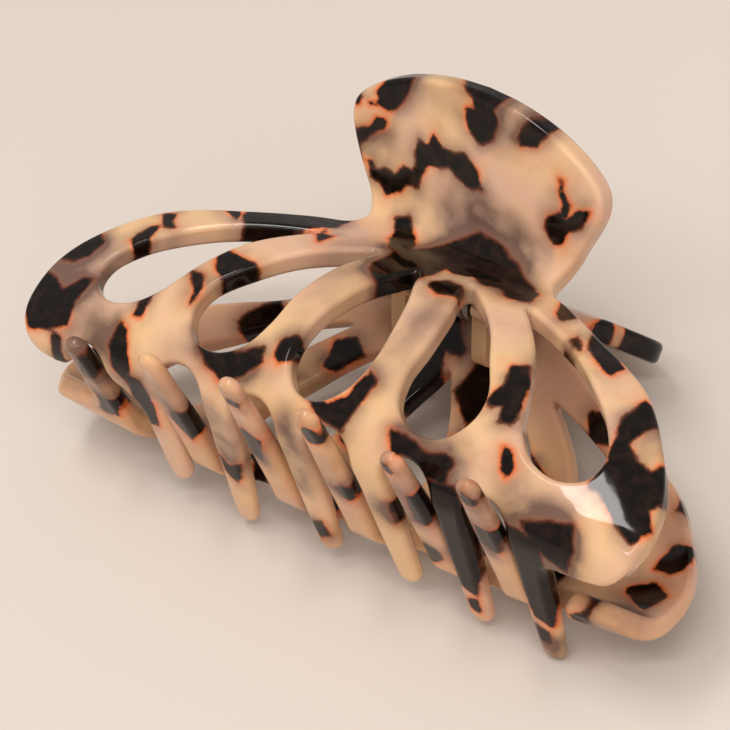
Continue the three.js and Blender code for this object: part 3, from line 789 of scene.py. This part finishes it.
def steel(name, colour, roughness, stretch):
    """Plated steel wire: fine streaks and faint spots of wear. A small number in stretch draws
    the streaks out along that axis."""
    n = Nodes(name)
    where = n.add("ShaderNodeTexCoord").outputs["Object"]
    stretched = n.add("ShaderNodeMapping")
    stretched.inputs["Scale"].default_value = stretch
    n.link(where, stretched.inputs["Vector"])
    streaks = n.noise(stretched.outputs[0], 900.0, 3.0, 0.6)
    spots = n.noise(where, 420.0, 2.0, 0.5)
    worn = n.ramp(spots, 0.55, 0.75)
    light = n.mix(n.ramp(streaks, 0.3, 0.7), colour, [x * 0.78 for x in colour[:3]] + [1.0])
    n.link(n.mix(n.math("MULTIPLY", worn, 0.4), light, srgb(120, 112, 104)), n.shader.inputs["Base Color"])
    n.link(n.math("ADD", roughness, n.math("MULTIPLY", streaks, 0.18)), n.shader.inputs["Roughness"])
    n.shader.inputs["Metallic"].default_value = 1.0
    bump = n.add("ShaderNodeBump")
    bump.inputs["Strength"].default_value = 0.15
    bump.inputs["Distance"].default_value = 0.00005
    n.link(streaks, bump.inputs["Height"])
    n.link(bump.outputs[0], n.shader.inputs["Normal"])
    return n.material


# ---- jaws ----
def jaw_edge(points):
    start, length = EDGE_CHANGE
    share = np.clip((points[:, 1] - start) / length, 0, 1)
    return BODY_EDGE + (TOOTH_EDGE - BODY_EDGE) * share * share * (3 - 2 * share)


def make_jaws():
    looks = {
        "front": (FRONT_SHARDS, FRONT_CLOUDS, (0, 0, 0), 0.0),
        # the rear jaw is the same acetate; its 0.22 is painted shade, a darker amber ground for the jaw
        # lying under the front one
        "rear": (REAR_FLECKS, REAR_CLOUDS, (173, 58, 31), 0.22),
    }
    for side, (flecks, clouds, offset, painted_shade) in looks.items():
        turned = side == "rear"
        outline = jaw_outline(side)
        flat, triangles, normals = plate(outline, jaw_holes(), SHEET, jaw_edge, POINT_SPACING)
        points, bent = bend(flat, normals, on_front_jaw)
        triangles = outward_facing(points, triangles)
        obj = mesh_object(
            f"{side}_jaw_acetate", to_frame(points, turned), triangles, turn_directions(bent, turned),
        )
        add_vector(obj, "flat_place", flat)
        add_vector(obj, "figure", pattern(flat, flecks, clouds))
        obj.data.materials.append(acetate(f"{side}_acetate", offset, painted_shade))
        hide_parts(f"{side}_jaw")
        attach(obj, side)


# ---- lugs ----
def lug_outline():
    s = np.arange(LUG_FOOT[0], LUG_FOOT[1] + 0.01, 0.25)
    foot = on_front_jaw(np.stack([0 * s, s, 0 * s + SHEET + GLUE_GAP], 1))[:, 1:]
    angles = np.radians(np.arange(-58, 89, 5))
    eye = np.stack([LUG_RADIUS * np.cos(angles), PIN_Z + LUG_RADIUS * np.sin(angles)], 1)
    heel = foot[-6] + (1.5, -0.9)  # cuts off the sharp end of the foot
    line = np.vstack([foot[:-5], [heel], eye])
    dense = []
    for p, q in zip(line, np.roll(line, -1, 0)):
        for t in np.linspace(0, 1, max(1, round(np.linalg.norm(q - p) / 0.3)), endpoint=False):
            dense.append(p + (q - p) * t)
    dense = np.array(dense)
    for _ in range(20):  # rounds the corners
        dense = (np.roll(dense, 1, 0) + 2 * dense + np.roll(dense, -1, 0)) / 4
    return dense


def make_lugs():
    angles = np.linspace(0, 2 * math.pi, 48, endpoint=False)
    bore = PIN_RADIUS + PIN_CLEARANCE
    hole = np.stack([bore * np.cos(angles), PIN_Z + bore * np.sin(angles)], 1)
    flat, triangles, normals = plate(lug_outline(), [hole], LUG_WIDTH, 0.2, 0.8, steps=3)
    for side in ("front", "rear"):
        material = acetate(f"{side}_lug_honey", (310, 44, 12) if side == "front" else (80, 230, 9))
        for which, x in (("outer", OUTER_LUG_X), ("inner", -INNER_LUG_X)):
            def place(p, x=x):
                return np.stack([x + LUG_WIDTH / 2 - p[:, 2], p[:, 0], p[:, 1]], 1)
            points, bent = bend(flat, normals, place)
            turned = side == "rear"
            obj = mesh_object(
                f"{side}_lug_{which}_honey", to_frame(points, turned),
                outward_facing(points, triangles), turn_directions(bent, turned),
            )
            add_vector(obj, "flat_place", flat)
            add_vector(obj, "figure", np.tile(PLAIN_FIGURE, (len(flat), 1)))
            obj.data.materials.append(material)
            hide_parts(f"{side}_lug_{which}")
            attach(obj, side)


# ---- pin and spring ----
def make_pin():
    """The pin, turned about x: a shank and a domed head at each end."""
    shank = OUTER_LUG_X + LUG_WIDTH / 2 + PIN_CLEARANCE
    half = [(0.0, shank + PIN_HEAD_LENGTH)]
    rim = 0.25  # straight side of the head, below its dome
    for angle in np.radians([72, 54, 36, 18, 0]):
        radius = PIN_HEAD_RADIUS * math.cos(angle) ** 0.8
        half.append((radius, shank + rim + (PIN_HEAD_LENGTH - rim) * math.sin(angle)))
    half += [(PIN_HEAD_RADIUS - 0.12, shank + 0.04), (PIN_HEAD_RADIUS - 0.3, shank)]
    half += [(PIN_RADIUS + 0.1, shank), (PIN_RADIUS, shank - 0.1)]
    profile = half + [(r, -x) for r, x in reversed(half)]
    sides = 40
    points, triangles = [], []
    for r, x in profile:
        for i in range(sides):
            angle = 2 * math.pi * i / sides
            points.append((x, r * math.cos(angle), PIN_Z + r * math.sin(angle)))
    for j in range(len(profile) - 1):
        for i in range(sides):
            a, b = j * sides + i, j * sides + (i + 1) % sides
            c, d = a + sides, b + sides
            if profile[j][0] > 0:
                triangles.append((a, b, d))
            if profile[j + 1][0] > 0:
                triangles.append((a, d, c))
    points = np.array(points)
    obj = mesh_object("hinge_pin_steel", to_frame(points), outward_facing(points, np.array(triangles)))
    obj.data.materials.append(steel("pin_steel", srgb(196, 197, 198), 0.16, (0.1, 1, 1)))
    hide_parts("hinge_pin")
    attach(obj, "rear")


def spring_path():
    """The wire's centreline: an arm on the rear thumb plate, the coil, an arm on the front one."""
    half_coil = COIL_TURNS * COIL_PITCH / 2
    depth = SHEET + GLUE_GAP + WIRE_RADIUS
    rests = on_front_jaw(np.array([(0, s, depth) for s in ARM_REST], float))
    arm = [(-half_coil, -p[1], p[2]) for p in rests] + [(-half_coil, y, z) for y, z in ARM_BEND]
    start = rad(COIL_START)
    turns = COIL_TURNS - 2 * (start - math.pi / 2) / (2 * math.pi)
    steps = round(turns * 12)
    coil = []
    for i in range(steps + 1):
        angle = start + i / steps * turns * 2 * math.pi
        coil.append((
            -half_coil + i / steps * 2 * half_coil,
            COIL_RADIUS * math.cos(angle), PIN_Z + COIL_RADIUS * math.sin(angle),
        ))
    return np.array(arm + coil + [(-x, -y, z) for x, y, z in reversed(arm)])


def make_spring():
    knots = spring_path()
    padded = np.vstack([2 * knots[0] - knots[1], knots, 2 * knots[-1] - knots[-2]])
    line = []
    for p0, p1, p2, p3 in zip(padded, padded[1:], padded[2:], padded[3:]):
        for t in np.linspace(0, 1, 5, endpoint=False):
            line.append(0.5 * (
                2 * p1 + (p2 - p0) * t + (2 * p0 - 5 * p1 + 4 * p2 - p3) * t * t
                + (3 * p1 - p0 - 3 * p2 + p3) * t ** 3
            ))
    line.append(knots[-1])
    line = np.array(line)
    ahead = np.gradient(line, axis=0)
    ahead /= np.linalg.norm(ahead, axis=1)[:, None]
    side = np.cross(ahead[0], (1, 0, 0))
    sides, points, triangles = 16, [], []
    # rings of the wire, closing to a rounded tip at each end
    tip = 0.35 * WIRE_RADIUS
    stations = [(0, r, -tip * (1 - i / 3)) for i, r in enumerate((0.5, 0.8, 0.95))]
    stations += [(i, 1.0, 0.0) for i in range(len(line))]
    stations += [(len(line) - 1, r, tip * (i + 1) / 3) for i, r in enumerate((0.95, 0.8, 0.5))]
    for i, share, shift in stations:
        side = side - ahead[i] * (side @ ahead[i])
        side /= np.linalg.norm(side)
        other = np.cross(ahead[i], side)
        for j in range(sides):
            angle = 2 * math.pi * j / sides
            around = side * math.cos(angle) + other * math.sin(angle)
            points.append(line[i] + ahead[i] * shift + around * WIRE_RADIUS * share)
    for i in range(len(stations) - 1):
        for j in range(sides):
            a, b = i * sides + j, i * sides + (j + 1) % sides
            triangles += [(a, b, b + sides), (a, b + sides, a + sides)]
    last = (len(stations) - 1) * sides
    triangles += [(0, j + 1, j) for j in range(1, sides - 1)]
    triangles += [(last, last + j, last + j + 1) for j in range(1, sides - 1)]
    points = np.array(points)
    obj = mesh_object("torsion_spring_wire", to_frame(points), outward_facing(points, np.array(triangles)))
    obj.data.materials.append(steel("spring_steel", srgb(176, 176, 178), 0.2, (1, 1, 1)))
    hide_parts("torsion_spring")
    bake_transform(obj)


# ---- floor, light, camera ----
def make_floor():
    mesh = bpy.data.meshes.new("floor")
    mesh.from_pydata([(-3, -3, 0), (3, -3, 0), (3, 3, 0), (-3, 3, 0)], [], [(0, 1, 2, 3)])
    floor = bpy.data.objects.new("floor", mesh)
    bpy.context.scene.collection.objects.link(floor)
    n = Nodes("warm_paper")
    where = n.add("ShaderNodeTexCoord").outputs["Object"]
    broad = n.ramp(n.noise(where, 3.0, 2.0), 0.35, 0.65)
    grain = n.noise(where, 900.0, 2.0)
    colour = n.mix(n.math("MULTIPLY", broad, 0.4), srgb(211, 200, 190), srgb(207, 195, 185))
    n.link(colour, n.shader.inputs["Base Color"])
    n.shader.inputs["Roughness"].default_value = 0.75
    n.shader.inputs["Specular IOR Level"].default_value = 0.25
    bump = n.add("ShaderNodeBump")
    bump.inputs["Strength"].default_value = 0.05
    bump.inputs["Distance"].default_value = 0.0002
    n.link(grain, bump.inputs["Height"])
    n.link(bump.outputs[0], n.shader.inputs["Normal"])
    mesh.materials.append(n.material)


def softbox(name, target, direction, distance, size, watts, colour=(1, 1, 1), reflects=False):
    """A rectangular lamp, (width, height) in m. Only one with reflects=True shows in the polish."""
    data = bpy.data.lights.new(name, "AREA")
    data.shape = "RECTANGLE"
    data.size, data.size_y = size
    data.energy = watts
    data.color = colour
    lamp = bpy.data.objects.new(name, data)
    bpy.context.scene.collection.objects.link(lamp)
    way = Vector(direction).normalized()
    lamp.location = Vector(target) + way * distance
    lamp.rotation_mode = "QUATERNION"
    lamp.rotation_quaternion = (-way).to_track_quat("-Z", "Y")
    lamp.visible_glossy = reflects
    return lamp


def make_lights():
    centre = (0.0, -0.01, 0.02)
    softbox("key", centre, (-0.5, -0.65, 0.6), 1.3, (0.8, 0.8), 2.6, (1.0, 0.97, 0.945))
    softbox("ceiling", centre, (0.0, -0.1, 1.0), 1.4, (1.4, 1.4), 4.0, (1.0, 0.965, 0.935))
    softbox("fill", centre, (0.7, -0.5, 0.5), 1.3, (1.2, 1.2), 5.6, (1.0, 0.965, 0.935))
    softbox(
        "gleam", (0.03, -0.01, 0.03), (-0.17, -0.085, 0.98), 0.8, (0.28, 0.13), 2.0,
        (1.0, 0.97, 0.95), reflects=True,
    )
    softbox(
        "rim light", (0.0, 0.02, 0.045), (0.3, -0.45, 0.86), 0.8, (0.6, 0.04), 1.8,
        (1.0, 0.98, 0.96), reflects=True,
    )
    world = bpy.data.worlds.new("studio")
    world.use_nodes = True
    background = world.node_tree.nodes["Background"]
    background.inputs[0].default_value = (1.0, 0.965, 0.935, 1)
    background.inputs[1].default_value = 0.44
    bpy.context.scene.world = world


def make_camera():
    right = Vector(CAMERA_RIGHT).normalized()
    back = Vector(CAMERA_BACK).normalized()
    up = back.cross(right).normalized()
    right = up.cross(back)
    data = bpy.data.cameras.new("camera")
    data.sensor_width = 36.0
    data.lens = CAMERA_LENS
    data.clip_start = 0.01
    camera = bpy.data.objects.new("camera", data)
    bpy.context.scene.collection.objects.link(camera)
    turn = Matrix((right, up, back)).transposed().to_4x4()
    place = Vector(CAMERA_TARGET) + back * CAMERA_DISTANCE
    camera.matrix_world = Matrix.Translation(place) @ turn
    bpy.context.scene.camera = camera


make_jaws()
make_lugs()
make_pin()
make_spring()
make_floor()
make_lights()
make_camera()
scene = bpy.context.scene
scene.view_settings.view_transform = "Standard"
